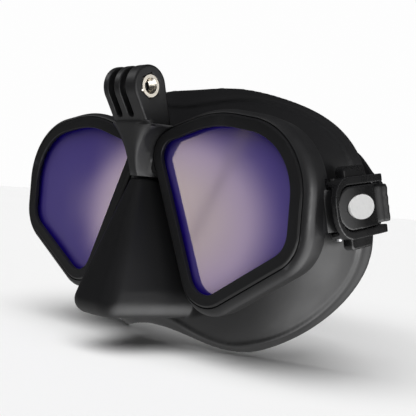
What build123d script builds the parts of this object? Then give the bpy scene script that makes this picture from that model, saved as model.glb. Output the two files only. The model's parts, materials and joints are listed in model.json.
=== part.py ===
"""Twin-lens diving mask with a camera mount on its bridge, in millimetres.

+X is the wearer's left, -Y is forwards and +Z is up. The origin is the middle of the camera bore, at the
centre of the middle prong. Outlines of the front are drawn on the front plane, whose own origin is level with
the middle of the lenses, and depths are counted backwards from it.
"""

import os
from math import cos, hypot, radians, sin

from build123d import *

os.makedirs("parts", exist_ok=True)

# ---- Driving dimensions ----

# Front plane: the lip of the lens openings, from the camera bore
LIP_Y = 8.3
LENS_Z = -34.1

# Visible outline of the wearer's left lens, corners from its top nose side round the temple, and their radii
LENS_CORNERS = [(7.0, 14.2), (33.1, 21.9), (67.1, 16.2), (67.1, -17.5), (31.4, -40.0)]
LENS_RADII = [5.3, 39.8, 21.4, 8.8, 7.9]

# Lens stack
GLASS_DEPTH = 1.7
GLASS_THICK = 4.0
GLASS_LAP = 3.0
BEAD_THICK = 1.8
BEZEL_WIDTH = 4.3
BEZEL_WALL = 1.2
BEZEL_CHAMFER = 0.7
GROOVE = 0.35
NECK = 2.0

# Frame shell: half of its outer outline, from the bridge round the temple to the nose arch
FRAME_CORNERS = [
    (0, 20.3),
    (5.2, 20.4),
    (32.8, 28.5),
    (74.9, 21.8),
    (74.9, -21.6),
    (29.2, -50.5),
    (5.8, 2.5),
    (0, 2.5),
]
FRAME_RADII = [10, 46, 27, 17, 14, 5]
FRAME_FRONT = 0.6
FRAME_BACK = 10.8
FRAME_DRAFT = 5
FRAME_ROUND = 3.4
# Ridge of the bridge: height, half width at the back, half width and depth of its tip
BRIDGE_LEVELS = [
    (21.2, 14.2, 9.2, -10.2),
    (17.3, 9.4, 5.8, -9.0),
    (11.0, 5.6, 2.8, -7.2),
    (2.5, 5.4, 1.8, -4.7),
]
BRIDGE_BACK = 4
# Lug at each temple for the buckle's swivel pin
LUG_HALF = 6.6
LUG_R = 2.4
LUG_ROOT_U = -6.2
LUG_ROOT_N = (-0.2, 2.8)
RELIEF_R = 3.2

# Skirt: half outlines of its outside, from the top centre round the temple to the bottom centre, by depth
SKIRT_SECTIONS = {
    10.8: [
        (0, 17.5), (20, 22), (38, 24.5), (56, 19), (67, 8), (70, -6),
        (68, -18), (56, -28), (42, -37), (27, -45), (0, -49),
    ],
    18.0: [
        (0, 28.5), (20, 30), (38, 29), (56, 21.7), (67.5, 8.5), (69.7, -4),
        (69, -19), (58.4, -33), (44.4, -45.6), (27, -54.5), (0, -56),
    ],
    26.0: [
        (0, 39.6), (20, 38), (38, 33), (56, 24), (67, 10.5), (69.2, -2),
        (70, -20), (60.4, -37), (46.9, -50.3), (28.4, -59.8), (0, -60.5),
    ],
    37.0: [
        (0, 43.6), (20, 41.9), (38, 36.4), (56, 26.3), (66, 12.5), (68.7, 0),
        (70.2, -20), (62, -38.2), (50.1, -50.5), (30.6, -63.4), (0, -66),
    ],
    48.0: [
        (0, 45.6), (20, 43.9), (38, 37.9), (56, 27.2), (65.5, 13.5), (68.4, 1),
        (70.4, -19), (63, -38.2), (51.1, -51.5), (31.6, -65.4), (0, -68),
    ],
}
SKIRT_CENTRE = (0, -10)
SKIRT_WALL = 2.4
FACE_RADIUS = 122.0
FACE_DEPTH = 25.0
LIP_NOTCH_RADIUS = 45.0
LIP_NOTCH_DEPTH = 15.0
LIP_NOTCH_TOP = -40.0
# Nose pocket, outside and inside: height, half width at the back, half width and depth of its tip
NOSE_LEVELS = [(1.6, 4.6, 2.8, -4.0), (-38.0, 20.8, 9.4, -19.6), (-48.0, 22.6, 10.6, -23.4)]
NOSE_ROOM_LEVELS = [(-2.4, 4.8, 2.4, -2.8), (-36.5, 18.0, 8.0, -16.4), (-45.6, 19.4, 9.0, -20.0)]
NOSE_ROUND = 5.0
NOSE_ROOM_ROUND = 3.4
NOSE_BACK = 11.8
NOSE_ROOM_BACK = 14.8

# Camera mount: three prongs of the standard action-camera kind, and an M5 nut
BORE_R = 2.6
EAR_R = 7.5
EAR_ROUND = 0.8
PRONG = 2.9
SLOT = 3.2
NUT_EAR_FACE = 9.8
SLOT_FLOOR = -11.0
PRONG_FOOT = (-1.2, 11.5)
FOOT_BOTTOM = -13.8
FOOT_SIZE = (18.2, 14.2)
FOOT_CENTRE = (1.12, 5.7)
FOOT_CORNER = 3.5
FOOT_TAPER = 6
NUT_FLATS = 8.0
NUT_THICK = 4.0
NUT_THREAD_R = 2.1
MOUNT_LEAN = 26

# Buckle, in its own axes: u towards the strap, n outwards, w up, from the middle of its front edge's plane
BUCKLE_FRONT = (80.0, 6.7, -4.3)
BUCKLE_RISE = 8
BUCKLE_ROLL = 8.5
BUCKLE_NOSE = -8.0
BUCKLE_TAIL = 24.0
BUCKLE_HALF = 9.8
BUCKLE_CORNER = 8.8
BUCKLE_LOBE = 2.2
BUCKLE_FLANGE = 2.6
RIM_TOP = 8.0
BUCKLE_RIM = 1.8
BASE_LOW = 0.6
BASE_TOP = 2.2
LUG_ROOM_U = 3.0
COVER_LOW = 6.2
COVER_PLATE = 1.0
COVER_INSET = 0.45
COVER_TAIL = 15.9
COVER_TOP = 8.9
COVER_CORNER = 6.6
DOME_CORNER = 6.2
BADGE_U = 5.4
BADGE_LENGTH = 14.6
BADGE_HEIGHT = 7.8
BADGE_SUNK = 0.9
BADGE_PROUD = 0.15
SWIVEL_U = -1.5
SWIVEL_N = 3.4
SWIVEL_R = 1.1
ROLLER_U = 20.0
ROLLER_N = 4.2
ROLLER_R = 2.2
ROLLER_PIN_R = 0.9
RUNNING_GAP = 0.05
CLEAR = 0.3

# Release buttons, their springs, and the lock that they draw back from the strap
BUTTON_U = (1.8, 15.2)
BUTTON_N = (2.5, 5.9)
BUTTON_PROUD = 3.6
BUTTON_CORNER = 1.8
BUTTON_EDGE = 0.7
BUTTON_FOOT = 5.4
SHOULDER_U = (1.3, 15.6)
WEDGE_U = (10.46, 11.6)
WEDGE_TIP = 3.3
LOCK_RATIO = 0.6
LOCK_U = (8.6, 13.6)
LOCK_SHOULDER = 3.2
LOCK_NOTCH = 1.07
LOCK_JAW_U = 15.7
LOCK_JAW_HALF = 3.1
LOCK_GAP = 0.1
SPRING_U = 5.4
SPRING_R = 1.2
SPRING_WIRE_R = 0.22
SPRING_TURNS = 3.5
RIB_HALF = 0.8
RIB_LENGTH = 3.0

# Strap: its ends round the rollers, half of its path seen from above as (x, depth), and its edges seen from
# behind as (x, height)
STRAP_THICK = 1.5
STRAP_HALF = 6.4
STRAP_LEAVE = 10
STRAP_RUN = 8.0
STRAP_BEAD_R = 1.05
BAND_THICK = 1.8
STRAP_PATH = [(72.2, 44.2), (59.5, 72.0), (36.0, 92.0)]
STRAP_BEND_RADII = [60, 44]
STRAP_TOP = [(90, 5.8), (66, 6.2), (50, 12.0), (34, 24.0), (0, 24.0)]
STRAP_BOTTOM = [(90, -7.0), (66, -6.6), (50, -5.0), (34, -16.0), (0, -16.0)]
STRAP_EDGE_RADII = [30, 25, 25]
CRADLE_SLOT = (60, 13)
CRADLE_RISE = 4.0

# A length that passes right through the part that it cuts
THROUGH = 60.0

# ---- Frames of reference ----

front = Plane(origin=(0, LIP_Y, LENS_Z), x_dir=(1, 0, 0), z_dir=(0, -1, 0))


def behind(depth):
    """The front plane moved back by a depth."""
    return front.offset(-depth)


def placed(x, depth, z):
    """A point given by its side, its depth behind the lens lip and its height from the lenses."""
    return Vector(x, LIP_Y + depth, LENS_Z + z)


rise = radians(BUCKLE_RISE)
roll = radians(BUCKLE_ROLL)
along = Vector(0, cos(rise), sin(rise))
upright = Vector(-sin(roll), -sin(rise) * cos(roll), cos(rise) * cos(roll))
outward = along.cross(upright)
buckle_zero = placed(*BUCKLE_FRONT) - along * BUCKLE_NOSE - outward * RIM_TOP
buckle_middle = Plane(origin=buckle_zero, x_dir=along, z_dir=upright)


def buckle_point(u, n, w):
    """A point of the left buckle's own axes, in the mask's."""
    return buckle_zero + along * u + outward * n + upright * w


def buckle_level(w):
    """A plane across the left buckle at height w, with u and n as its axes, that extrudes downwards."""
    return Plane(origin=buckle_point(0, 0, w), x_dir=along, z_dir=-upright)


def buckle_face(n):
    """A plane along the left buckle's face at n, with u and w as its axes."""
    return Plane(origin=buckle_point(0, n, 0), x_dir=along, z_dir=outward)


def write(piece, name):
    """Label a finished piece and write its STEP file."""
    piece.part.label = name
    export_step(piece.part, f"parts/{name}.step")


def write_pair(piece, name):
    """Write a left piece and its mirror image on the right."""
    with BuildPart() as other:
        mirror(piece.part, about=Plane.YZ)
    write(piece, name + "_left")
    write(other, name + "_right")


# ---- Outlines that several pieces share ----


def lens_outline(plane, grow=0.0, both=False):
    """The left lens's visible outline, grown outwards, and the right one too if asked."""
    with BuildSketch(plane) as sketch:
        with BuildLine():
            FilletPolyline(*LENS_CORNERS, radius=LENS_RADII, close=True)
        make_face()
        if grow:
            offset(amount=grow)
        if both:
            mirror(about=Plane.YZ)
    return sketch.sketch


def level_section(height, side, back, nose_half, tip, corner):
    """A level section, wide at the back and round at the tip, at a height from the lenses."""
    with BuildSketch(Plane.XY.offset(LENS_Z + height)) as sketch:
        with BuildLine():
            FilletPolyline(
                (side, LIP_Y + back),
                (nose_half, LIP_Y + tip),
                (-nose_half, LIP_Y + tip),
                (-side, LIP_Y + back),
                radius=[0, corner, corner, 0],
                close=True,
            )
        make_face()
    return sketch.sketch


def buckle_plan(n, nose, half, tail, corner, tail_corner=0):
    """A D-shaped plan at level n: square at the tail, with round corners at the nose."""
    with BuildSketch(buckle_face(n)) as sketch:
        with BuildLine():
            corners = [(tail, -half), (nose, -half), (nose, half), (tail, half)]
            FilletPolyline(*corners, radius=[tail_corner, corner, corner, tail_corner], close=True)
        make_face()
    return sketch.sketch


def buckle_block(u, w, n, mode=Mode.ADD):
    """A block between pairs of u, w and n."""
    with BuildSketch(buckle_face(n[0])) as block:
        with Locations(((u[0] + u[1]) / 2, (w[0] + w[1]) / 2)):
            Rectangle(u[1] - u[0], w[1] - w[0])
    extrude(block.sketch, amount=n[1] - n[0], mode=mode)


def buckle_rod(u, n, radius, half, mode=Mode.ADD):
    """An upright round rod or hole through the buckle."""
    with BuildSketch(buckle_level(half)) as section:
        with Locations((u, n)):
            Circle(radius)
    extrude(section.sketch, amount=2 * half, mode=mode)


# ---- Camera mount and its nut ----

far_face = -1.5 * PRONG - SLOT
nut_seat = NUT_EAR_FACE - NUT_THICK
prong_root = SLOT_FLOOR - 1
lean = radians(MOUNT_LEAN)

with BuildPart() as camera_mount:
    with BuildSketch(Plane.YZ.offset(far_face)):
        Circle(EAR_R)
        with BuildLine():
            Polyline(
                (-EAR_R * cos(lean), -EAR_R * sin(lean)),
                (PRONG_FOOT[0], prong_root),
                (PRONG_FOOT[1], prong_root),
                (EAR_R * cos(lean / 2), EAR_R * sin(lean / 2)),
                close=True,
            )
        make_face()
    extrude(amount=NUT_EAR_FACE - far_face)
    for outer_face in (camera_mount.faces().sort_by(Axis.X)[-1], camera_mount.faces().sort_by(Axis.X)[0]):
        fillet(outer_face.edges().filter_by(lambda e: e.center().Z > SLOT_FLOOR), EAR_ROUND)
    with BuildSketch(Plane.XY.offset(FOOT_BOTTOM)):
        with Locations(FOOT_CENTRE):
            RectangleRounded(*FOOT_SIZE, FOOT_CORNER)
    extrude(amount=prong_root + 0.4 - FOOT_BOTTOM, taper=FOOT_TAPER)
    # Two slots with round floors part the three prongs
    with BuildSketch(Plane.XZ.offset(THROUGH / 2)):
        for side in (-1, 1):
            with Locations((side * (PRONG + SLOT) / 2, SLOT_FLOOR + THROUGH / 2)):
                SlotOverall(THROUGH, SLOT, rotation=90)
    extrude(amount=-THROUGH, mode=Mode.SUBTRACT)
    with BuildSketch(Plane.YZ.offset(far_face - 1)):
        Circle(BORE_R)
    extrude(amount=THROUGH, mode=Mode.SUBTRACT)
    with BuildSketch(Plane.YZ.offset(nut_seat)):
        RegularPolygon(NUT_FLATS / 2 + RUNNING_GAP, 6, major_radius=False, rotation=30)
    extrude(amount=THROUGH, mode=Mode.SUBTRACT)
write(camera_mount, "camera_mount")

with BuildPart() as mount_nut:
    with BuildSketch(Plane.YZ.offset(nut_seat)):
        RegularPolygon(NUT_FLATS / 2, 6, major_radius=False, rotation=30)
        Circle(NUT_THREAD_R, mode=Mode.SUBTRACT)
    extrude(amount=NUT_THICK)
write(mount_nut, "mount_nut")

# ---- Frame shell ----

ledge_depth = GLASS_DEPTH + GLASS_THICK + BEAD_THICK
pocket_front = -20


def bridge_section(height, side, nose_half, tip):
    """One level section of the bridge's ridge."""
    return level_section(height, side, BRIDGE_BACK, nose_half, tip, nose_half * 0.7)


with BuildPart() as lug:
    with BuildSketch(buckle_level(LUG_HALF)):
        with Locations((SWIVEL_U, SWIVEL_N)):
            Circle(LUG_R)
        with BuildLine():
            Polyline(
                (SWIVEL_U, SWIVEL_N + LUG_R),
                (LUG_ROOT_U, LUG_ROOT_N[1]),
                (LUG_ROOT_U, LUG_ROOT_N[0]),
                (SWIVEL_U, SWIVEL_N - LUG_R),
                close=True,
            )
        make_face()
    extrude(amount=2 * LUG_HALF)
    buckle_rod(SWIVEL_U, SWIVEL_N, SWIVEL_R + RUNNING_GAP, THROUGH, Mode.SUBTRACT)

# Room in the frame's rear edge for the buckle's flanges to swing
with BuildPart() as flange_relief:
    buckle_rod(SWIVEL_U, SWIVEL_N, RELIEF_R, BUCKLE_HALF + CLEAR)

with BuildPart() as frame_shell:
    with BuildSketch(behind(FRAME_FRONT)):
        with BuildLine():
            outline = FilletPolyline(*FRAME_CORNERS, radius=FRAME_RADII)
            mirror(outline, about=Plane.YZ)
        make_face()
    extrude(amount=FRAME_FRONT - FRAME_BACK, taper=FRAME_DRAFT)
    fillet(frame_shell.faces().sort_by(Axis.Y)[0].edges(), FRAME_ROUND)
    # The bridge swells forwards as a ridge from the nose arch up to the camera mount's seat
    loft([bridge_section(*level) for level in BRIDGE_LEVELS])
    add(camera_mount.part, mode=Mode.SUBTRACT)
    extrude(
        lens_outline(behind(pocket_front), BEZEL_WIDTH + GROOVE, True),
        amount=pocket_front - ledge_depth,
        mode=Mode.SUBTRACT,
    )
    extrude(lens_outline(behind(pocket_front), NECK + 0.3, True), amount=-THROUGH, mode=Mode.SUBTRACT)
    add(flange_relief.part, mode=Mode.SUBTRACT)
    mirror(flange_relief.part, about=Plane.YZ, mode=Mode.SUBTRACT)
    add(lug.part)
    mirror(lug.part, about=Plane.YZ)
write(frame_shell, "frame_shell")

# ---- Lens stack ----

with BuildPart() as lens_bezel:
    extrude(lens_outline(behind(0), BEZEL_WIDTH), amount=-GLASS_DEPTH)
    extrude(lens_outline(behind(0)), amount=-GLASS_DEPTH, mode=Mode.SUBTRACT)
    chamfer(lens_bezel.faces().sort_by(Axis.Y)[0].outer_wire().edges(), BEZEL_CHAMFER)
    extrude(lens_outline(behind(GLASS_DEPTH), BEZEL_WIDTH), amount=-GLASS_THICK)
    extrude(
        lens_outline(behind(GLASS_DEPTH), BEZEL_WIDTH - BEZEL_WALL), amount=-GLASS_THICK, mode=Mode.SUBTRACT
    )
write_pair(lens_bezel, "lens_bezel")

with BuildPart() as lens:
    extrude(lens_outline(behind(GLASS_DEPTH), GLASS_LAP), amount=-GLASS_THICK)
write_pair(lens, "lens")

# ---- Skirt ----


def inset(point, amount):
    """A section's point moved towards the middle of the skirt."""
    dx = point[0] - SKIRT_CENTRE[0]
    dz = point[1] - SKIRT_CENTRE[1]
    share = 1 - amount / hypot(dx, dz)
    return (SKIRT_CENTRE[0] + dx * share, SKIRT_CENTRE[1] + dz * share)


def skirt_section(depth, points, wall):
    """One closed section of the skirt, inset by the wall."""
    with BuildSketch(behind(depth)) as sketch:
        with BuildLine():
            side = Spline(*[inset(point, wall) for point in points], tangents=[(1, 0), (-1, 0)])
            mirror(side, about=Plane.YZ)
        make_face()
    return sketch.sketch


def nose_solid(levels, back, radius):
    """A wedge that widens downwards through level sections, with a rounded foot."""
    sections = [
        level_section(height, side, back, nose_half, tip, nose_half * 0.75)
        for height, side, nose_half, tip in levels
    ]
    with BuildPart() as wedge:
        loft(sections[:2])
        loft(sections[1:])
        foot_edges = wedge.faces().sort_by(Axis.Z)[0].edges().sort_by(Axis.Y)[:-1]
        fillet(foot_edges, radius)
    return wedge.part


with BuildPart() as skirt_room:
    room_depths = [FRAME_BACK + SKIRT_WALL, *list(SKIRT_SECTIONS)[1:]]
    loft([skirt_section(d, p, SKIRT_WALL) for d, p in zip(room_depths, SKIRT_SECTIONS.values())])

with BuildPart() as skirt:
    loft([skirt_section(depth, points, 0) for depth, points in SKIRT_SECTIONS.items()])
    # The nose pocket stands through the frame's arch
    add(nose_solid(NOSE_LEVELS, NOSE_BACK, NOSE_ROUND))
    add(skirt_room.part, mode=Mode.SUBTRACT)
    add(nose_solid(NOSE_ROOM_LEVELS, NOSE_ROOM_BACK, NOSE_ROOM_ROUND), mode=Mode.SUBTRACT)
    # The face and, below the nose, the upper lip shape the sealing edge
    with BuildSketch(Plane.XY.offset(LENS_Z - 2 * THROUGH)):
        with Locations((0, LIP_Y + FACE_DEPTH + FACE_RADIUS)):
            Circle(FACE_RADIUS)
    extrude(amount=4 * THROUGH, mode=Mode.SUBTRACT)
    with BuildSketch(Plane.XY.offset(LENS_Z + LIP_NOTCH_TOP)):
        with Locations((0, LIP_Y + LIP_NOTCH_DEPTH + LIP_NOTCH_RADIUS)):
            Circle(LIP_NOTCH_RADIUS)
    extrude(amount=-THROUGH, mode=Mode.SUBTRACT)
    # A neck through the frame and a bead behind the glass round each lens
    bead_plane = behind(GLASS_DEPTH + GLASS_THICK)
    extrude(lens_outline(behind(ledge_depth), NECK, True), amount=ledge_depth - FRAME_BACK)
    extrude(lens_outline(bead_plane, BEZEL_WIDTH - 0.1, True), amount=-BEAD_THICK)
    extrude(lens_outline(bead_plane, 0.2, True), amount=-FRAME_BACK, mode=Mode.SUBTRACT)
write(skirt, "skirt")

# ---- Buckle: body, cover and badge ----

flange_low = BUCKLE_HALF - BUCKLE_FLANGE
hollow_nose = BUCKLE_NOSE + BUCKLE_RIM

with BuildPart() as buckle_body:
    with BuildSketch(buckle_level(BUCKLE_HALF)):
        with BuildLine():
            FilletPolyline(
                (BUCKLE_NOSE, COVER_LOW),
                (BUCKLE_NOSE, RIM_TOP),
                (BUCKLE_TAIL, RIM_TOP),
                (BUCKLE_TAIL, BASE_LOW),
                (SWIVEL_U - 0.2, BASE_LOW),
                (SWIVEL_U - 2.4, BASE_LOW + 2),
                (SWIVEL_U - 3.4, COVER_LOW),
                radius=[0.3, 0.5, 3.4, 3.4, 1.0, 1.0, 0.8],
                close=True,
            )
        make_face()
    extrude(amount=2 * BUCKLE_HALF)
    plan = buckle_plan(-5, BUCKLE_NOSE, BUCKLE_HALF, BUCKLE_TAIL, BUCKLE_CORNER, BUCKLE_LOBE)
    extrude(plan, amount=20, mode=Mode.INTERSECT)
    hollow = buckle_plan(BASE_TOP, hollow_nose, flange_low, THROUGH, COVER_CORNER)
    extrude(hollow, amount=20, mode=Mode.SUBTRACT)
    # Open below the cover for the lug, and behind it for the strap's loop
    buckle_block((-THROUGH, LUG_ROOM_U), (-flange_low, flange_low), (-THROUGH, COVER_LOW), Mode.SUBTRACT)
    buckle_block((COVER_TAIL, THROUGH), (-flange_low, flange_low), (-THROUGH, THROUGH), Mode.SUBTRACT)
    # Windows for the two buttons, a rib for their springs to push against, and holes for the two pins
    buckle_block(
        (BUTTON_U[0] - CLEAR, BUTTON_U[1] + CLEAR),
        (-THROUGH, THROUGH),
        (BUTTON_N[0] - CLEAR, BUTTON_N[1] + CLEAR),
        Mode.SUBTRACT,
    )
    rib_u = (SPRING_U - RIB_LENGTH / 2, SPRING_U + RIB_LENGTH / 2)
    buckle_block(rib_u, (-RIB_HALF, RIB_HALF), (BASE_LOW, COVER_LOW))
    buckle_rod(SWIVEL_U, SWIVEL_N, SWIVEL_R, THROUGH, Mode.SUBTRACT)
    buckle_rod(ROLLER_U, ROLLER_N, ROLLER_PIN_R, THROUGH, Mode.SUBTRACT)
write_pair(buckle_body, "buckle_body")

with BuildPart() as buckle_cover:
    # A domed top on a flat plate, a little smaller than the plate all round
    dome_half = flange_low - COVER_INSET
    extrude(buckle_plan(COVER_LOW, hollow_nose + COVER_INSET, dome_half, COVER_TAIL, DOME_CORNER), amount=5)
    with BuildSketch(buckle_level(flange_low)):
        with BuildLine():
            plate_top = COVER_LOW + COVER_PLATE
            nose_top = (hollow_nose, plate_top + 0.2)
            tail_top = (COVER_TAIL, plate_top + 0.8)
            Polyline(nose_top, (hollow_nose, plate_top), (COVER_TAIL, plate_top), tail_top)
            ThreePointArc(tail_top, (6, COVER_TOP), nose_top)
        make_face()
    extrude(amount=2 * flange_low, mode=Mode.INTERSECT)
    extrude(buckle_plan(COVER_LOW, hollow_nose, flange_low, COVER_TAIL, COVER_CORNER), amount=COVER_PLATE)
write_pair(buckle_cover, "buckle_cover")

with BuildPart() as buckle_badge:
    with BuildSketch(buckle_face(COVER_TOP - BADGE_SUNK)):
        with Locations((BADGE_U, 0)):
            Ellipse(BADGE_LENGTH / 2, BADGE_HEIGHT / 2)
    extrude(amount=BADGE_SUNK + BADGE_PROUD)
    add(buckle_cover.part, mode=Mode.SUBTRACT)
write_pair(buckle_badge, "buckle_badge")

# ---- Buckle: pins, roller and the strap's end ----

with BuildPart() as swivel_pin:
    buckle_rod(SWIVEL_U, SWIVEL_N, SWIVEL_R, BUCKLE_HALF)
write_pair(swivel_pin, "swivel_pin")

with BuildPart() as roller_pin:
    buckle_rod(ROLLER_U, ROLLER_N, ROLLER_PIN_R, BUCKLE_HALF)
write_pair(roller_pin, "roller_pin")

with BuildPart() as strap_roller:
    buckle_rod(ROLLER_U, ROLLER_N, ROLLER_R, flange_low - CLEAR)
    buckle_rod(ROLLER_U, ROLLER_N, ROLLER_PIN_R + RUNNING_GAP, THROUGH, Mode.SUBTRACT)
write_pair(strap_roller, "strap_roller")

# The strap comes in on the inside, turns round the front of the roller and ends in a bead on the outside
loop_radius = ROLLER_R + CLEAR + STRAP_THICK / 2
leave = radians(STRAP_LEAVE)
loop_foot = (ROLLER_U - loop_radius * sin(leave), ROLLER_N - loop_radius * cos(leave))
loop_top = (ROLLER_U, ROLLER_N + loop_radius)
strap_tip = (BUCKLE_TAIL - 1, loop_top[1])

with BuildPart() as strap_end:
    with BuildSketch(buckle_level(STRAP_HALF)):
        with BuildLine():
            Line((loop_foot[0] + STRAP_RUN * cos(leave), loop_foot[1] - STRAP_RUN * sin(leave)), loop_foot)
            ThreePointArc(loop_foot, (ROLLER_U - loop_radius, ROLLER_N), loop_top)
            Line(loop_top, strap_tip)
        trace(line_width=STRAP_THICK)
        with Locations((strap_tip[0], strap_tip[1] - 0.2)):
            Circle(STRAP_BEAD_R)
    extrude(amount=2 * STRAP_HALF)
write_pair(strap_end, "strap_end")

# ---- Buckle: release buttons, their springs and the strap lock ----

button_top = BUCKLE_HALF + BUTTON_PROUD
shoulder = flange_low - LOCK_GAP

with BuildPart() as button_upper:
    with BuildSketch(buckle_face(BUTTON_N[0])):
        with BuildLine():
            FilletPolyline(
                (BUTTON_U[0], BUTTON_FOOT),
                (BUTTON_U[0], button_top),
                (BUTTON_U[1], button_top),
                (BUTTON_U[1], BUTTON_FOOT),
                radius=[0, BUTTON_CORNER, BUTTON_CORNER, 0],
                close=True,
            )
        make_face()
        with BuildLine():
            Polyline(
                (SHOULDER_U[0], BUTTON_FOOT),
                (SHOULDER_U[0], shoulder),
                (SHOULDER_U[1], shoulder),
                (SHOULDER_U[1], BUTTON_FOOT),
                close=True,
            )
        make_face()
        # The wedge that pushes the lock forwards
        with BuildLine():
            Polyline(
                (WEDGE_U[0] - LOCK_RATIO * (BUTTON_FOOT - WEDGE_TIP), BUTTON_FOOT),
                (WEDGE_U[0], WEDGE_TIP),
                (WEDGE_U[1], WEDGE_TIP),
                (WEDGE_U[1], BUTTON_FOOT),
                close=True,
            )
        make_face()
    extrude(amount=BUTTON_N[1] - BUTTON_N[0])
    crown_level = BUCKLE_HALF + 1
    crown = button_upper.edges().filter_by(lambda e: (e.center() - buckle_zero).dot(upright) > crown_level)
    fillet(crown.filter_by(lambda e: abs((e @ 1 - e @ 0).normalized().dot(outward)) < 0.5), BUTTON_EDGE)
write_pair(button_upper, "button_upper")

with BuildPart() as button_lower:
    mirror(button_upper.part, about=buckle_middle)
write_pair(button_lower, "button_lower")

with BuildPart() as spring_upper:
    spring_foot = buckle_point(SPRING_U, ROLLER_N, RIB_HALF + SPRING_WIRE_R)
    height = BUTTON_FOOT - RIB_HALF - 2 * SPRING_WIRE_R
    with BuildLine() as coil:
        pitch = height / SPRING_TURNS
        Helix(pitch=pitch, height=height, radius=SPRING_R, center=spring_foot, direction=upright)
    with BuildSketch(Plane(origin=coil.line @ 0, z_dir=coil.line % 0)):
        Circle(SPRING_WIRE_R)
    sweep(path=coil.line, is_frenet=True)
write_pair(spring_upper, "spring_upper")

with BuildPart() as spring_lower:
    mirror(spring_upper.part, about=buckle_middle)
write_pair(spring_lower, "spring_lower")

with BuildPart() as strap_lock:
    with BuildSketch(buckle_face(BUTTON_N[0] + LOCK_GAP)):
        with BuildLine():
            notch = (WEDGE_U[1], LOCK_NOTCH)
            Polyline(
                (LOCK_U[0], 0),
                (LOCK_U[0], LOCK_SHOULDER),
                (notch[0] - LOCK_RATIO * (LOCK_SHOULDER - LOCK_NOTCH), LOCK_SHOULDER),
                notch,
                (LOCK_U[1], LOCK_NOTCH),
                (LOCK_U[1], LOCK_JAW_HALF),
                (LOCK_JAW_U, LOCK_JAW_HALF),
                (LOCK_JAW_U, 0),
            )
            mirror(about=Plane.XZ)
        make_face()
    extrude(amount=BUTTON_N[1] - BUTTON_N[0] - 2 * LOCK_GAP)
write_pair(strap_lock, "strap_lock")

# ---- Strap behind the head ----

with BuildPart() as strap:
    with BuildSketch(Plane.XY.offset(LENS_Z - THROUGH)):
        with BuildLine():
            half_path = [(x, LIP_Y + depth) for x, depth in STRAP_PATH]
            other_half = [(-x, y) for x, y in reversed(half_path)]
            FilletPolyline(*half_path, *other_half, radius=STRAP_BEND_RADII + STRAP_BEND_RADII[::-1])
        trace(line_width=BAND_THICK)
    extrude(amount=2 * THROUGH)
    with BuildSketch(front):
        with BuildLine():
            FilletPolyline(*STRAP_TOP, radius=STRAP_EDGE_RADII)
            FilletPolyline(*STRAP_BOTTOM, radius=STRAP_EDGE_RADII)
            Line(STRAP_TOP[0], STRAP_BOTTOM[0])
            Line(STRAP_TOP[-1], STRAP_BOTTOM[-1])
        make_face()
        mirror(about=Plane.YZ)
        with Locations((0, CRADLE_RISE)):
            SlotOverall(*CRADLE_SLOT, mode=Mode.SUBTRACT)
    extrude(amount=-3 * THROUGH, mode=Mode.INTERSECT)
write(strap, "strap")
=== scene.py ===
"""Looks of the twin-lens diving mask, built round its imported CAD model.

The frame is the model's own: +X is the wearer's left, -Y is forwards, +Z is up. The camera's place and the
sizes of the pieces are named in millimetres and turned into metres with MM. The stage and lamps are in metres.
"""

import json
from math import atan2, cos, pi, radians, sin, tau

import bmesh
import bpy
import numpy as np
from mathutils import Matrix, Vector


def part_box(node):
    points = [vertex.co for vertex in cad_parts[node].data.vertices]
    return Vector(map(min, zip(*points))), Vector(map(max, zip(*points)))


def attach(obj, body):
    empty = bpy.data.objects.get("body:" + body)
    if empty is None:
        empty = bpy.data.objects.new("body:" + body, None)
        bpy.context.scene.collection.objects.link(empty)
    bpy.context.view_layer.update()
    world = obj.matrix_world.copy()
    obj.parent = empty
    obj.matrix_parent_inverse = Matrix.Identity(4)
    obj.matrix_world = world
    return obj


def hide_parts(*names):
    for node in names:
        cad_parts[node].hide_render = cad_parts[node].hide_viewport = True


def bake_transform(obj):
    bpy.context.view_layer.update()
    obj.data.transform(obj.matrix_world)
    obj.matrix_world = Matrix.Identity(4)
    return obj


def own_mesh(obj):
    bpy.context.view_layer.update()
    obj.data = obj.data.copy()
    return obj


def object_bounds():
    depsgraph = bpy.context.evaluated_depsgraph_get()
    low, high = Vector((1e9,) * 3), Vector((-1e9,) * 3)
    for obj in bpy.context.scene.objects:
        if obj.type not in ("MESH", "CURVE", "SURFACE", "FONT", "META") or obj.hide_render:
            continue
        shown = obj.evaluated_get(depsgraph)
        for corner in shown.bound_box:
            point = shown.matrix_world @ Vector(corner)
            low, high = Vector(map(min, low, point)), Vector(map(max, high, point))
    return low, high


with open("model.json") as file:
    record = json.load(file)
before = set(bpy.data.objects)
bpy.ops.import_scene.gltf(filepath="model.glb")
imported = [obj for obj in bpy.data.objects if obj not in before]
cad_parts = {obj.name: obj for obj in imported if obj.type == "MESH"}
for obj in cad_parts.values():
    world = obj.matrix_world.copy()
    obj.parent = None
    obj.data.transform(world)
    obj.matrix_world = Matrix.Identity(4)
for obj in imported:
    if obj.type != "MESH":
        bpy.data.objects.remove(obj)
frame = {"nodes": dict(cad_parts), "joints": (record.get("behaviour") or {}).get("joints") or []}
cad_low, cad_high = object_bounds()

MM = 0.001
NODES = frame["nodes"]
JOINTS = {joint["name"]: joint for joint in frame["joints"]}
SIDES = {"left": 1, "right": -1}

# ---- Camera ----

CAMERA_AT = Vector((193.3, -168.7, -37.75)) * MM
CAMERA_AZIMUTH = 42.0
CAMERA_ELEVATION = 0.78
CAMERA_ROLL = 4.7
CAMERA_LENS = 61.0
SENSOR = 36.0


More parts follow.
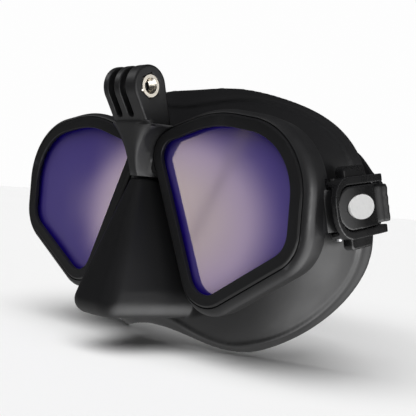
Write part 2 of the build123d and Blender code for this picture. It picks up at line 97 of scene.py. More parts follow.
def make_camera():
    """The camera, placed by its azimuth, elevation and roll."""
    azimuth, elevation, roll = (radians(a) for a in (CAMERA_AZIMUTH, CAMERA_ELEVATION, CAMERA_ROLL))
    back = Vector((sin(azimuth) * cos(elevation), -cos(azimuth) * cos(elevation), sin(elevation)))
    level_right = (-back).cross(Vector((0, 0, 1))).normalized()
    level_up = level_right.cross(-back)
    right = level_right * cos(roll) + level_up * sin(roll)
    up = level_up * cos(roll) - level_right * sin(roll)
    data = bpy.data.cameras.new("camera")
    data.lens = CAMERA_LENS
    data.sensor_width = SENSOR
    data.clip_start = 0.01
    data.clip_end = 20
    camera = bpy.data.objects.new("camera", data)
    bpy.context.scene.collection.objects.link(camera)
    turn = Matrix((right, up, back)).transposed().to_4x4()
    turn.translation = CAMERA_AT
    camera.matrix_world = turn
    bpy.context.scene.camera = camera


make_camera()

# ---- Making meshes ----

SAME_POINT = 1e-6
SHARP_ANGLE = 28


def shown(name, mesh):
    """A mesh as an object of the scene."""
    piece = bpy.data.objects.new(name, mesh)
    bpy.context.scene.collection.objects.link(piece)
    return piece


def shown_grid(name, grid):
    """A bmesh as an object of the scene, which ends the bmesh."""
    mesh = bpy.data.meshes.new(name)
    grid.to_mesh(mesh)
    grid.free()
    return shown(name, mesh)


def unit(rows):
    """Rows of vectors, each made one long."""
    return rows / np.linalg.norm(rows, axis=1, keepdims=True)


def new_object(name, verts, faces, smooth=True):
    """A mesh object from points in metres and faces."""
    mesh = bpy.data.meshes.new(name)
    mesh.from_pydata([tuple(v) for v in verts], [], faces)
    mesh.validate()
    if smooth:
        mesh.shade_smooth()
    return shown(name, mesh)


def face_outwards(piece):
    """Turns all faces of a closed mesh outwards."""
    grid = bmesh.new()
    grid.from_mesh(piece.data)
    bmesh.ops.recalc_face_normals(grid, faces=grid.faces)
    grid.to_mesh(piece.data)
    grid.free()


def welded_grid(node):
    """A CAD node's mesh as a bmesh, with its doubled corners joined."""
    grid = bmesh.new()
    grid.from_mesh(NODES[node].data)
    bmesh.ops.remove_doubles(grid, verts=grid.verts, dist=SAME_POINT)
    return grid


def copy_of(node, name):
    """A free copy of a CAD node, with its doubled corners joined."""
    return shown_grid(name, welded_grid(node))


def joined(name, pieces):
    """One object from several, which are removed."""
    grid = bmesh.new()
    for piece in pieces:
        grid.from_mesh(piece.data)
        bpy.data.objects.remove(piece)
    return shown_grid(name, grid)


def apply_modifiers(piece):
    """Bakes a piece's modifiers into its mesh."""
    graph = bpy.context.evaluated_depsgraph_get()
    mesh = bpy.data.meshes.new_from_object(piece.evaluated_get(graph))
    piece.modifiers.clear()
    piece.data = mesh


def moulded(piece, voxel, rounds):
    """Fuses a piece's overlapping shells into one skin and softens its edges; voxel is in millimetres."""
    remesh = piece.modifiers.new("skin", "REMESH")
    remesh.mode = "VOXEL"
    remesh.voxel_size = voxel * MM
    soften = piece.modifiers.new("soften", "SMOOTH")
    soften.factor = 0.5
    soften.iterations = rounds
    apply_modifiers(piece)
    piece.data.shade_smooth()


def rounded(node, width, segments=2):
    """Puts a small round, in millimetres wide, on a CAD node's sharp edges."""
    piece = NODES[node]
    weld = piece.modifiers.new("weld", "WELD")
    weld.merge_threshold = SAME_POINT
    bevel = piece.modifiers.new("bevel", "BEVEL")
    bevel.width = width * MM
    bevel.segments = segments
    bevel.limit_method = "ANGLE"
    bevel.angle_limit = radians(SHARP_ANGLE)
    bevel.use_clamp_overlap = True
    bevel.harden_normals = True


def spline(points, steps, closed=False):
    """A Catmull-Rom curve through points, with so many steps to each span."""
    p = np.array(points, float)
    count = len(p)
    spans = count if closed else count - 1
    out = []
    for i in range(spans):
        if closed:
            a, b, c, d = (p[(i + k) % count] for k in (-1, 0, 1, 2))
        else:
            b, c = p[i], p[i + 1]
            a = p[i - 1] if i else 2 * b - c
            d = p[i + 2] if i + 2 < count else 2 * c - b
        for k in range(steps):
            t = k / steps
            bend = 2 * a - 5 * b + 4 * c - d
            twist = 3 * b - a - 3 * c + d
            out.append(0.5 * (2 * b + (c - a) * t + bend * t**2 + twist * t**3))
    if not closed:
        out.append(p[-1])
    return np.array(out)


def swept(name, rings, closed_path):
    """A skin over equal rings of points, capped at its ends unless the path closes."""
    count, size = len(rings), len(rings[0])
    verts = [v for ring in rings for v in ring]
    faces = []
    for i in range(count if closed_path else count - 1):
        j = (i + 1) % count
        for k in range(size):
            m = (k + 1) % size
            faces.append((i * size + k, i * size + m, j * size + m, j * size + k))
    if not closed_path:
        faces.append(tuple(reversed(range(size))))
        faces.append(tuple((count - 1) * size + k for k in range(size)))
    piece = new_object(name, verts, faces)
    face_outwards(piece)
    return piece


# ---- Materials ----

class Look:
    """A node material whose colour, roughness and grain vary over the surface."""

    def __init__(self, name):
        self.material = bpy.data.materials.new(name)
        self.material.use_nodes = True
        self.tree = self.material.node_tree
        self.shader = self.tree.nodes["Principled BSDF"]
        self.place = self.node("ShaderNodeTexCoord").outputs["Object"]
        self.height = None

    def node(self, kind, **settings):
        """A node of a kind, with its sockets and properties set by name."""
        made = self.tree.nodes.new(kind)
        for key, value in settings.items():
            if key in made.inputs:
                made.inputs[key].default_value = value
            else:
                setattr(made, key, value)
        return made

    def link(self, source, target):
        self.tree.links.new(source, target)

    def set(self, **sockets):
        for key, value in sockets.items():
            self.shader.inputs[key.replace("_", " ")].default_value = value
        return self

    def noise(self, scale, detail=4.0, stretch=(1, 1, 1)):
        """A noise over the surface; scale is its features to the metre."""
        mapping = self.node("ShaderNodeMapping", Scale=stretch)
        self.link(self.place, mapping.inputs["Vector"])
        made = self.node("ShaderNodeTexNoise", Scale=scale, Detail=detail)
        self.link(mapping.outputs["Vector"], made.inputs["Vector"])
        return made.outputs["Fac"]

    def ramp(self, source, stops):
        """A colour or grey that follows a source through positions and values."""
        made = self.node("ShaderNodeValToRGB")
        ramp = made.color_ramp
        while len(ramp.elements) < len(stops):
            ramp.elements.new(0.5)
        for element, (position, value) in zip(ramp.elements, stops):
            element.position = position
            element.color = (*value, 1) if isinstance(value, tuple) else (value, value, value, 1)
        self.link(source, made.inputs["Fac"])
        return made.outputs["Color"]

    def mixed(self, share, a, b):
        """Colour a to colour b by a share; a colour is a socket or three numbers."""
        made = self.node("ShaderNodeMix", data_type="RGBA")
        self.link(share, made.inputs[0])
        for index, value in ((6, a), (7, b)):
            if isinstance(value, tuple):
                made.inputs[index].default_value = (*value, 1)
            else:
                self.link(value, made.inputs[index])
        return made.outputs[2]

    def colour(self, source):
        self.link(source, self.shader.inputs["Base Color"])
        return self

    def roughness(self, low, high, scale, detail=5.0):
        """Roughness that varies between two values."""
        varied = self.ramp(self.noise(scale, detail), [(0.3, low), (0.7, high)])
        self.link(varied, self.shader.inputs["Roughness"])
        return self

    def bump(self, source, depth, strength=1.0):
        """Adds a bump of a depth in millimetres over what is there already."""
        made = self.node("ShaderNodeBump", Distance=depth * MM, Strength=strength)
        self.link(source, made.inputs["Height"])
        if self.height:
            self.link(self.height, made.inputs["Normal"])
        self.height = made.outputs["Normal"]
        self.link(self.height, self.shader.inputs["Normal"])
        return self

    def edges(self, base, worn, low=0.52, high=0.60):
        """The base colour, paler along worn convex edges."""
        pointed = self.node("ShaderNodeNewGeometry").outputs["Pointiness"]
        return self.mixed(self.ramp(pointed, [(low, 0.0), (high, 1.0)]), base, worn)


def moulded_plastic(name, dark, pale, worn, rough, grain):
    """Black moulded plastic with a fine spark-eroded grain."""
    look = Look(name)
    tone = look.mixed(look.noise(90, 3), dark, pale)
    look.colour(look.edges(tone, worn))
    look.roughness(rough[0], rough[1], 160)
    look.bump(look.noise(5200, 2), grain)
    look.bump(look.noise(420, 3), grain * 0.8)
    return look.set(Specular_IOR_Level=0.45).material


def silicone(name, dark, pale, rough):
    """Frosted black silicone: a soft sheen, flow marks and a little dust."""
    look = Look(name)
    tone = look.mixed(look.noise(38, 5, (1, 1, 0.6)), dark, pale)
    dust = look.node("ShaderNodeTexVoronoi", Scale=420.0, Randomness=1.0)
    look.link(look.place, dust.inputs["Vector"])
    speck = look.ramp(dust.outputs["Distance"], [(0.0, 1.0), (0.055, 0.0)])
    patchy = look.ramp(look.noise(55, 2), [(0.58, 0.0), (0.72, 0.55)])
    share = look.node("ShaderNodeMath", operation="MULTIPLY")
    look.link(speck, share.inputs[0])
    look.link(patchy, share.inputs[1])
    look.colour(look.mixed(share.outputs[0], tone, (0.16, 0.16, 0.165)))
    look.roughness(rough[0], rough[1], 70)
    look.bump(look.noise(3600, 2), 0.012)
    look.bump(look.noise(160, 4), 0.05)
    return look.set(Specular_IOR_Level=0.42).material


def metal(name, base, streak, rough, stretch=(1, 1, 1)):
    """Plated or drawn metal with fine tool marks."""
    look = Look(name)
    marks = look.noise(2600, 4, stretch)
    look.colour(look.mixed(look.ramp(marks, [(0.35, 0.0), (0.7, 1.0)]), base, streak))
    look.roughness(rough[0], rough[1], 900)
    look.bump(marks, 0.01)
    return look.set(Metallic=1.0).material


def coated_glass():
    """The violet coating of the lenses, deep blue along the rim where a band of the bezel's shade is painted.
    """
    look = Look("violet_coating")
    # rim is the share of the painted deep-blue shade from the bezel's inner wall, mixed over the coating's
    # colour below.
    rim = look.node("ShaderNodeAttribute", attribute_name="rim").outputs["Fac"]
    middle = look.mixed(look.noise(24, 2), (0.050, 0.036, 0.165), (0.058, 0.043, 0.185))
    look.colour(look.mixed(rim, middle, (0.010, 0.004, 0.13)))
    look.roughness(0.07, 0.11, 40)
    return look.set(Specular_IOR_Level=0.5).material


def badge_plastic():
    """Plain white printed plastic."""
    look = Look("badge_white")
    look.colour(look.mixed(look.noise(700, 4), (0.74, 0.74, 0.74), (0.86, 0.86, 0.85)))
    look.roughness(0.30, 0.42, 600)
    look.bump(look.noise(3000, 2), 0.006)
    return look.material


LOOKS = {
    "frame": moulded_plastic(
        "frame_black",
        dark=(0.0075, 0.0075, 0.0082),
        pale=(0.0120, 0.0120, 0.0127),
        worn=(0.035, 0.035, 0.037),
        rough=(0.40, 0.50),
        grain=0.010,
    ),
    "bezel": moulded_plastic(
        "bezel_black",
        dark=(0.0070, 0.0070, 0.0077),
        pale=(0.0105, 0.0105, 0.0112),
        worn=(0.030, 0.030, 0.032),
        rough=(0.38, 0.46),
        grain=0.008,
    ),
    "mount": moulded_plastic(
        "mount_black",
        dark=(0.0080, 0.0080, 0.0087),
        pale=(0.0130, 0.0130, 0.0137),
        worn=(0.045, 0.045, 0.047),
        rough=(0.38, 0.50),
        grain=0.014,
    ),
    "buckle": moulded_plastic(
        "buckle_black",
        dark=(0.0055, 0.0055, 0.0060),
        pale=(0.0090, 0.0090, 0.0096),
        worn=(0.060, 0.060, 0.063),
        rough=(0.22, 0.32),
        grain=0.005,
    ),
    "roller": moulded_plastic(
        "acetal_black",
        dark=(0.014, 0.014, 0.015),
        pale=(0.020, 0.020, 0.021),
        worn=(0.040, 0.040, 0.042),
        rough=(0.34, 0.44),
        grain=0.006,
    ),
    "skirt": silicone("skirt_silicone", (0.0060, 0.0060, 0.0066), (0.0105, 0.0105, 0.0112), (0.40, 0.52)),
    "strap": silicone("strap_silicone", (0.0060, 0.0060, 0.0066), (0.0105, 0.0105, 0.0112), (0.34, 0.46)),
    "nut": metal("nickel_plate", (0.72, 0.66, 0.56), (0.86, 0.82, 0.74), (0.16, 0.30)),
    "pin": metal("drawn_steel", (0.34, 0.34, 0.35), (0.46, 0.46, 0.47), (0.20, 0.34), (1, 1, 0.1)),
    "glass": coated_glass(),
    "badge": badge_plastic(),
}


def dress(piece, look):
    """Gives a piece its material."""
    piece.data.materials.clear()
    piece.data.materials.append(LOOKS[look])
    return piece


# ---- Buckle axes, read from the joints ----

ROLLER_REACH = (21.5, 0.8)


class BuckleAxes:
    """A buckle's own axes: u towards the strap, n outwards and w up, from its roller, in millimetres."""

    def __init__(self, side):
        swivel = JOINTS["buckle_swivel_" + side]
        roller = JOINTS["strap_roller_" + side]
        self.zero = Vector(roller["pos_m"])
        self.upright = Vector(roller["axis"]).normalized()
        if self.upright.z < 0:
            self.upright.negate()
        reach = (self.zero - Vector(swivel["pos_m"])).normalized()
        across = reach.cross(self.upright) * SIDES[side]
        lean = atan2(ROLLER_REACH[1], ROLLER_REACH[0])
        self.along = reach * cos(lean) - across * sin(lean)
        self.outward = reach * sin(lean) + across * cos(lean)

    def at(self, u, n, w=0.0):
        return self.zero + (self.along * u + self.outward * n + self.upright * w) * MM


# ---- Lenses ----

# How far the coated face lies behind the plate's front, where the bezel's lip ends, and the width of the
# painted blue band of bezel shade
LENS_SINK = 1.3
LENS_LAP = 3.0
PAINTED_SHADE_BAND = 2.0
LENS_RINGS = 14
LENS_STEPS = 220


def lens_outline(node):
    """The corner loop of a lens plate's front face, in order."""
    grid = welded_grid(node)
    front = min(v.co.y for v in grid.verts)
    flat = [f for f in grid.faces if all(abs(v.co.y - front) < SAME_POINT for v in f.verts)]
    inside = set(flat)
    border = {}
    for face in flat:
        for loop in face.loops:
            if not any(other in inside for other in loop.edge.link_faces if other is not face):
                border[loop.vert] = loop.link_loop_next.vert
    start = next(iter(border))
    ring = [start.co.copy()]
    step = border[start]
    while step is not start:
        ring.append(step.co.copy())
        step = border[step]
    grid.free()
    return ring


def even_ring(ring, count):
    """A closed loop of points spread evenly along a closed outline."""
    p = np.array([tuple(v) for v in ring])
    p = np.vstack([p, p[:1]])
    length = np.concatenate([[0], np.cumsum(np.linalg.norm(np.diff(p, axis=0), axis=1))])
    places = np.linspace(0, length[-1], count, endpoint=False)
    return np.stack([np.interp(places, length, p[:, k]) for k in range(3)], axis=1)


def make_lens(side):
    """A lens whose coated rear face is what the eye sees, a little behind the lip of its bezel."""
    node = "lens_" + side
    outline = even_ring(lens_outline(node), LENS_STEPS)
    middle = outline.mean(axis=0)
    radius = np.linalg.norm(outline - middle, axis=1, keepdims=True)
    rings, painted_shade_shares = [], []
    for k in range(LENS_RINGS):
        inset = LENS_LAP + PAINTED_SHADE_BAND * 2 * k / (LENS_RINGS - 1)
        rings.append(middle + (outline - middle) * (1 - inset * MM / radius))
        painted_shade_shares.append(max(0.0, 1 - (inset - LENS_LAP) / PAINTED_SHADE_BAND))
    front = [ring + np.array([0, LENS_SINK * MM, 0]) for ring in [outline, *rings]]
    back = outline.copy()
    back[:, 1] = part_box(node)[1].y
    verts = np.vstack([back, *front, [front[-1].mean(axis=0)]])
    count = len(outline)
    faces = []
    for r in range(len(front)):
        for k in range(count):
            m = (k + 1) % count
            faces.append((r * count + k, r * count + m, (r + 1) * count + m, (r + 1) * count + k))
    hub = len(verts) - 1
    last = len(front) * count
    faces += [(last + k, last + (k + 1) % count, hub) for k in range(count)]
    faces.append(tuple(range(count)))
    piece = new_object("coated_lens_" + side, verts, faces, smooth=False)
    # The rim attribute holds the share of the painted bezel shade: full at the outline, fading to none across
    # the band.
    rim = piece.data.attributes.new("rim", "FLOAT", "POINT")
    values = [1.0] * (2 * count)
    for share in painted_shade_shares:
        values += [share] * count
    rim.data.foreach_set("value", np.array(values + [0.0], np.float32))
    face_outwards(piece)
    dress(piece, "glass")
    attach(piece, "root")
    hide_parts(node)


# ---- Skirt ----

SKIRT_CENTRE_Z = -44.1
# Where the search for the skirt's free edge starts and ends, and how far in front its wall is measured
EDGE_NEAREST = 20.0
EDGE_FARTHEST = 75.0
WALL_FRONT = 19.6
WALL_SPAN = 6.0
BEYOND_SKIRT = 120.0
INSIDE_SKIRT = 5.0
RIM_STEPS = 240
RIM_PASSES = 6
SEARCH_STEPS = 18
EDGE_MARGIN = 0.2
FACE_RADIUS = 122.0
NOSE_GAP_HALF = 20.0
NOSE_GAP_DEPTH = 0.85
# The sealing edge's section: along the wall past its edge, out of the wall, and inwards over the face
LIP_SECTION = [
    (-9.5, -1.4, 0), (-9.5, 0.2, 0), (-8.6, 0.95, 0), (-5.0, 0.75, 0),
    (-1.2, 0.75, 0), (0.5, 0.25, 0), (0.6, -0.6, 0), (-0.6, -1.3, 0.2),
    (-2.2, -1.9, 1.2), (-2.0, -1.6, 4.5), (-1.5, -1.3, 8.0), (-1.3, -1.2, 10.4),
    (-2.1, -1.3, 10.8), (-3.1, -1.7, 8.0), (-4.8, -2.0, 4.5), (-7.4, -2.3, 1.4),
]


def wall_point(angle, y):
    """Where a level-y line towards the skirt's middle meets its outer wall, or None past its edge."""
    outwards = Vector((cos(angle), 0, sin(angle)))
    start = Vector((0, y, SKIRT_CENTRE_Z * MM)) + outwards * BEYOND_SKIRT * MM
    reach = (BEYOND_SKIRT - INSIDE_SKIRT) * MM
    hit, place, _, _ = NODES["skirt"].ray_cast(start, -outwards, distance=reach)
    return place if hit else None


def edge_point(angle):
    """The skirt's free edge in a direction, and a point of the wall in front of it."""
    low, high = EDGE_NEAREST * MM, EDGE_FARTHEST * MM
    for _ in range(SEARCH_STEPS):
        middle = (low + high) / 2
        if wall_point(angle, middle):
            low = middle
        else:
            high = middle
    edge = wall_point(angle, low - EDGE_MARGIN * MM)
    before = wall_point(angle, max(low - WALL_SPAN * MM, WALL_FRONT * MM))
    return edge, before


def make_skirt():
    """The skirt: its CAD body with a turned sealing edge and an inner seal, moulded in one."""
    points = [edge_point(tau * k / RIM_STEPS) for k in range(RIM_STEPS)]
    edge = np.array([tuple(a) for a, _ in points]) / MM
    before = np.array([tuple(b) for _, b in points]) / MM
    for _ in range(RIM_PASSES):
        edge = (np.roll(edge, 1, 0) + 2 * edge + np.roll(edge, -1, 0)) / 4
        before = (np.roll(before, 1, 0) + 2 * before + np.roll(before, -1, 0)) / 4
    along_rim = unit(np.roll(edge, -1, 0) - np.roll(edge, 1, 0))
    wall = unit(edge - before)
    out = unit(np.cross(wall, along_rim))
    centre = np.array([0, 0, SKIRT_CENTRE_Z])
    radial = (edge - centre) * np.array([1, 0, 1])
    out *= np.sign(np.sum(out * radial, axis=1))[:, None]
    inwards = -unit(radial)
    inwards[:, 1] = inwards[:, 0] * edge[:, 0] / np.sqrt(FACE_RADIUS**2 - edge[:, 0] ** 2)
    # The inner seal narrows under the nose
    below = edge[:, 2] < SKIRT_CENTRE_Z
    under_nose = np.exp(-((edge[:, 0] / NOSE_GAP_HALF) ** 4))
    narrow = np.where(below, 1 - NOSE_GAP_DEPTH * under_nose, 1.0)
    section = spline(LIP_SECTION, 3, closed=True)
    rings = []
    for k in range(RIM_STEPS):
        a, b, c = section.T
        ring = edge[k] + np.outer(a, wall[k]) + np.outer(b, out[k]) + np.outer(c * narrow[k], inwards[k])
        rings.append(ring * MM)
    lip = swept("lip", rings, closed_path=True)
    skirt = joined("skirt_moulding", [copy_of("skirt", "skirt_body"), lip])
    moulded(skirt, voxel=0.62, rounds=6)
    dress(skirt, "skirt")
    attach(skirt, "root")
    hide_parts("skirt")
    return skirt


# ---- Strap ----

STRAP_HALF = 6.3
STRAP_THICK = 1.7
LOOP_RADIUS = 3.3
STRAP_EDGE = 0.5
RIB_PITCH = 2.6
RIB_HEIGHT = 0.35
BEAD_LENGTH = 1.8
BEAD_HEIGHT = 0.55
WRAP_STEPS = 8
WRAP_START = radians(10)
# On the wearer's left: where the tail runs behind the buckle, and where the band starts to bend towards it
TAIL_ROUTE = [(64.5, 69.5, -34.2), (68.8, 60.0, -34.2), (71.9, 53.2, -34.2)]


def strap_tail(side):
    """The end of the strap, from the band behind round the front of the roller to its bead outside."""
    axes = BuckleAxes(side)
    sign = SIDES[side]
    path = [Vector((sign * x, y, z)) * MM for x, y, z in TAIL_ROUTE]
    path.append(axes.at(4.0, -LOOP_RADIUS - 0.65))
    for k in range(WRAP_STEPS):
        turn = WRAP_START + (pi - WRAP_START) * k / WRAP_STEPS
        path.append(axes.at(-LOOP_RADIUS * sin(turn), -LOOP_RADIUS * cos(turn)))
    path += [axes.at(0.4, LOOP_RADIUS), axes.at(3.0, LOOP_RADIUS)]
    line = spline([tuple(p) for p in path], 14)
    across = np.array(axes.upright)
    run = unit(np.gradient(line, axis=0))
    outer = unit(np.cross(run, across))
    outer *= np.sign(outer[0] @ np.array(axes.outward))
    travelled = np.concatenate([[0], np.cumsum(np.linalg.norm(np.diff(line, axis=0), axis=1))]) / MM
    rings = []
    for place, normal, s in zip(line, outer, travelled):
        rib = RIB_HEIGHT * (0.5 + 0.5 * cos(tau * s / RIB_PITCH))
        bead = BEAD_HEIGHT if s > travelled[-1] - BEAD_LENGTH else 0.0
        section = []
        for corner, (w_sign, n_sign) in enumerate(((1, 1), (-1, 1), (-1, -1), (1, -1))):
            high = STRAP_THICK / 2 + bead + (rib if n_sign > 0 else 0)
            for k in range(4):
                angle = (corner + k / 3) * pi / 2
                w = w_sign * (STRAP_HALF - STRAP_EDGE) + STRAP_EDGE * cos(angle)
                n = n_sign * (high - STRAP_EDGE) + STRAP_EDGE * sin(angle)
                section.append(place + (across * w + normal * n) * MM)
        rings.append(section)
    return swept("tail", rings, closed_path=False)


def make_strap():
    """The strap as one moulding, cut behind the head into a half for each side."""
    whole = joined("strap_whole", [copy_of("strap", "band"), strap_tail("left"), strap_tail("right")])
    moulded(whole, voxel=0.45, rounds=3)
    for side, sign in SIDES.items():
        grid = bmesh.new()
        grid.from_mesh(whole.data)
        parts = grid.verts[:] + grid.edges[:] + grid.faces[:]
        cut_plane = {"plane_co": (0, 0, 0), "plane_no": (-sign, 0, 0)}
        bmesh.ops.bisect_plane(grid, geom=parts, clear_outer=True, dist=SAME_POINT, **cut_plane)
        rim = [e for e in grid.edges if e.is_boundary]
        caps = bmesh.ops.contextual_create(grid, geom=rim)["faces"]
        for face in caps:
            face.smooth = False
            for cut in face.edges:
                cut.smooth = False
        bmesh.ops.recalc_face_normals(grid, faces=grid.faces)
        half = shown_grid("strap_half_" + side, grid)
        dress(half, "strap")
        BuckleAxes(side).at(9, -5)
        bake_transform(half)
        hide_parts("strap", "strap_end_" + side)
    bpy.data.objects.remove(whole)


# ---- Camera mount's nut ----

NUT_FLATS = 8.0
NUT_CHAMFER = 0.55
FACE_EDGE = 0.05
THREAD_MINOR_R = 2.1
THREAD_PITCH = 0.8
THREAD_DEPTH = 0.42
LEAD_IN = 0.75
FACE_STEP = 0.02
NUT_STEPS = 72
NUT_ANGLES = [tau * k / NUT_STEPS for k in range(NUT_STEPS)]
THREAD_STEPS = 40


def nut_ring(x, radii):
    """A ring of points about the bore, one for each of the nut's angles."""
    return [Vector((x, r * cos(angle), r * sin(angle))) * MM for r, angle in zip(radii, NUT_ANGLES)]


def bore_radius(x, angle, lead_in):
    """The bore's radius with its helical thread, opened at its ends by the lead-in."""
    phase = (x / THREAD_PITCH - angle / tau) % 1.0
    return THREAD_MINOR_R + max(THREAD_DEPTH * (1 - abs(2 * phase - 1)), lead_in)


def hexagon_radius(angle):
    """The distance to a hexagon's flat side in a direction."""
    nearest = (angle - pi / 6) % (pi / 3) - pi / 6
    return NUT_FLATS / 2 / cos(nearest)


def make_nut():
    """The hexagon nut, with chamfered corners and a helical thread inside."""
    low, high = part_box("mount_nut")
    start, end = low.x / MM, high.x / MM
    rings = []
    for step in range(THREAD_STEPS + 1):
        x = start + (end - start) * step / THREAD_STEPS
        lead_in = max(0.0, LEAD_IN - min(x - start, end - x))
        rings.append(nut_ring(x, [bore_radius(x, angle, lead_in) for angle in NUT_ANGLES]))
    face_circle = [NUT_FLATS / 2 - FACE_EDGE] * len(NUT_ANGLES)
    hexagon = [hexagon_radius(angle) for angle in NUT_ANGLES]
    rings.append(nut_ring(end, face_circle))
    rings.append(nut_ring(end - FACE_STEP, face_circle))
    rings.append(nut_ring(end - NUT_CHAMFER, hexagon))
    rings.append(nut_ring(start + NUT_CHAMFER, hexagon))
    rings.append(nut_ring(start, face_circle))
    nut = swept("threaded_nut", rings, closed_path=True)
    for polygon in nut.data.polygons:
        polygon.use_smooth = False
    dress(nut, "nut")
    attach(nut, "root")
    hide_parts("mount_nut")


# ---- Buckles ----


def make_springs(side):
    """The coils behind the release buttons."""
    axes = BuckleAxes(side)
    for name, sense in (("upper", 1), ("lower", -1)):
        node = f"spring_{name}_{side}"
        coil = copy_of(node, "coil_" + node)
        dress(coil, "pin")
        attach(coil, "buckle_" + side)
        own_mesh(coil)
        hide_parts(node)


def make_buckle(side):
    """Finishes one buckle: its body and cover softly moulded, the rest from the CAD pieces."""
    for name in ("buckle_body", "buckle_cover"):
        node = f"{name}_{side}"
        piece = copy_of(node, "moulded_" + node)
        moulded(piece, voxel=0.22, rounds=4)
        dress(piece, "buckle")
        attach(piece, "buckle_" + side)
        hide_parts(node)
    finishes = {
        "buckle_badge": (0.12, "badge", "badge_plastic"),
        "button_upper": (0.30, "buckle", "button_plastic"),
        "button_lower": (0.30, "buckle", "button_plastic"),
        "strap_lock": (0.15, "roller", "roller_plastic"),
        "strap_roller": (0.20, "roller", "roller_plastic"),
        "swivel_pin": (0.12, "pin", "pin_steel"),
        "roller_pin": (0.10, "pin", "pin_steel"),
    }
    for name, (width, look, slot) in finishes.items():
        node = f"{name}_{side}"
        rounded(node, width)
        dress(NODES[node], look)
    make_springs(side)


# ---- Stage ----

BACKGROUND = 0.985
FLOOR_HALF = 8.0
FLOOR_GAP = 0.0008
SCREEN_AT = (-0.500, -0.50, -0.070)
SCREEN_HALF = (0.195, 0.135)
SCREEN_STRENGTH = 7.5
# Each lamp's place, the point that it is aimed at, its width and height in metres, and its power in watts
LAMPS = {
    "right": ((0.53, -0.17, -0.02), (0.07, 0.01, -0.05), (0.16, 0.12), 1.2),
    "right_rear": ((0.46, 0.30, -0.03), (0.07, 0.03, -0.05), (0.16, 0.12), 0.8),
    "left_front": ((-0.45, -0.33, 0.42), (0, 0, -0.03), (0.26, 0.20), 0.8),
}
AMBIENT = 0.05
# The surround's brighter parts: direction, where they start and end as cosines, and brightness
GLOWS = [((0.80, 0.20, -0.56), 0.55, 0.98, 4.6), ((-0.30, -0.25, -0.92), 0.30, 0.90, 0.6)]


def make_floor():
    """A wide, plain, pale floor just under the mask."""
    level = cad_low.z - FLOOR_GAP
    corners = [(x * FLOOR_HALF, y * FLOOR_HALF, level) for x, y in ((-1, -1), (1, -1), (1, 1), (-1, 1))]
    floor = new_object("floor", corners, [(0, 1, 2, 3)], smooth=False)
    look = Look("pale_floor")
    look.colour(look.mixed(look.noise(1.5, 2), (0.88, 0.88, 0.88), (0.90, 0.90, 0.90)))
    look.roughness(0.75, 0.85, 3)
    floor.data.materials.append(look.set(Specular_IOR_Level=0.0).material)
    floor.visible_glossy = False


def light_only(lamp, pieces):
    """Lets a light fall on some pieces only, as a studio's flags do."""
    lit = bpy.data.collections.new(lamp.name + "_lights")
    for piece in pieces:
        lit.objects.link(piece)
    lamp.light_linking.receiver_collection = lit


def make_lamp(name, pieces):
    """A soft rectangular lamp that lights the given pieces."""
    place, aim, size, power = LAMPS[name]
    data = bpy.data.lights.new(name, "AREA")
    data.shape = "RECTANGLE"
    data.size, data.size_y = size
    data.energy = power
    lamp = bpy.data.objects.new(name, data)
    lamp.location = place
    lamp.rotation_euler = (Vector(aim) - Vector(place)).to_track_quat("-Z", "Y").to_euler()
    bpy.context.scene.collection.objects.link(lamp)
    light_only(lamp, pieces)


def make_sun():
    """An even, very soft overhead light."""
    data = bpy.data.lights.new("overhead", "SUN")
    data.energy = 3.3
    data.angle = radians(70)
    lamp = bpy.data.objects.new("overhead", data)
    lamp.rotation_euler = (radians(24), radians(6), 0)
    lamp.visible_glossy = False
    bpy.context.scene.collection.objects.link(lamp)


def make_screen():
    """A soft round glowing screen before the mask, with a strut across it, that only the lenses reflect."""
    look = Look("screen_glow")
    tree = look.tree
    tree.nodes.remove(look.shader)
    glow = look.node("ShaderNodeEmission", Strength=SCREEN_STRENGTH)
    look.link(glow.outputs[0], tree.nodes["Material Output"].inputs["Surface"])
    disc = look.node("ShaderNodeTexGradient", gradient_type="SPHERICAL")
    look.link(look.place, disc.inputs["Vector"])
    edge, warm, centre = (0.16, 0.12, 0.15), (0.80, 0.64, 0.62), (1.0, 0.84, 0.58)
    stops = [(0.0, 0.0), (0.08, edge), (0.28, warm), (0.60, centre)]
    round_glow = look.ramp(disc.outputs["Fac"], stops)
    slanted = look.node("ShaderNodeMapping", Rotation=(0, 0, radians(62)), Scale=(5.0, 1.0, 1.0))
    look.link(look.place, slanted.inputs["Vector"])
    strut = look.node("ShaderNodeTexGradient")
    look.link(slanted.outputs["Vector"], strut.inputs["Vector"])
    line = look.ramp(strut.outputs["Fac"], [(0.0, 0.0), (0.57, 0.0), (0.70, 1.0), (0.83, 0.0)])
    look.link(look.mixed(line, round_glow, (0.36, 0.29, 0.07)), glow.inputs["Color"])
    corners = [(-1, -1, 0), (1, -1, 0), (1, 1, 0), (-1, 1, 0)]
    screen = new_object("screen", corners, [(0, 1, 2, 3)], smooth=False)
    screen.data.materials.append(look.material)
    screen.scale = (*SCREEN_HALF, 1)
    screen.location = SCREEN_AT
    screen.rotation_euler = (radians(90), 0, 0)
    screen.visible_camera = False
    screen.visible_diffuse = False
    screen.visible_shadow = False
    light_only(screen, [bpy.data.objects["coated_lens_" + side] for side in SIDES])


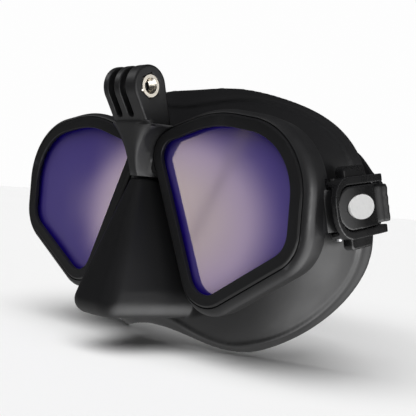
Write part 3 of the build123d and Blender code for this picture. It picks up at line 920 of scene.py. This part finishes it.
def make_world():
    """A surround that is white to the camera and dim elsewhere, but for its glows."""
    world = bpy.data.worlds.new("surround")
    bpy.context.scene.world = world
    world.use_nodes = True
    tree = world.node_tree
    shader = tree.nodes["Background"]
    direction = tree.nodes.new("ShaderNodeTexCoord").outputs["Generated"]
    glow = None
    for aim, start, end, power in GLOWS:
        dot = tree.nodes.new("ShaderNodeVectorMath")
        dot.operation = "DOT_PRODUCT"
        dot.inputs[1].default_value = aim
        tree.links.new(direction, dot.inputs[0])
        spread = tree.nodes.new("ShaderNodeMapRange")
        ends = {"From Min": start, "From Max": end, "To Min": AMBIENT / 2, "To Max": power}
        for key, value in ends.items():
            spread.inputs[key].default_value = value
        tree.links.new(dot.outputs["Value"], spread.inputs["Value"])
        if glow is None:
            glow = spread.outputs["Result"]
            continue
        total = tree.nodes.new("ShaderNodeMath")
        tree.links.new(glow, total.inputs[0])
        tree.links.new(spread.outputs["Result"], total.inputs[1])
        glow = total.outputs[0]
    seen = tree.nodes.new("ShaderNodeLightPath")
    level = tree.nodes.new("ShaderNodeMix")
    tree.links.new(seen.outputs["Is Camera Ray"], level.inputs[0])
    tree.links.new(glow, level.inputs[2])
    level.inputs[3].default_value = BACKGROUND
    tree.links.new(level.outputs[0], shader.inputs["Strength"])
    shader.inputs["Color"].default_value = (1, 1, 1, 1)


rounded("frame_shell", width=0.45, segments=3)
dress(NODES["frame_shell"], "frame")
skirt = make_skirt()
make_strap()
make_nut()
for side in SIDES:
    make_lens(side)
    make_buckle(side)
    rounded("lens_bezel_" + side, width=0.22)
    dress(NODES["lens_bezel_" + side], "bezel")
mount = copy_of("camera_mount", "moulded_mount")
moulded(mount, voxel=0.25, rounds=3)
dress(mount, "mount")
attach(mount, "root")
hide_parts("camera_mount")

make_floor()
make_world()
make_sun()
make_screen()
make_lamp("right", [NODES["frame_shell"]])
make_lamp("right_rear", [skirt])
make_lamp("left_front", [NODES["frame_shell"], mount])
bpy.context.scene.view_settings.view_transform = "Standard"

bpy.context.view_layer.update()
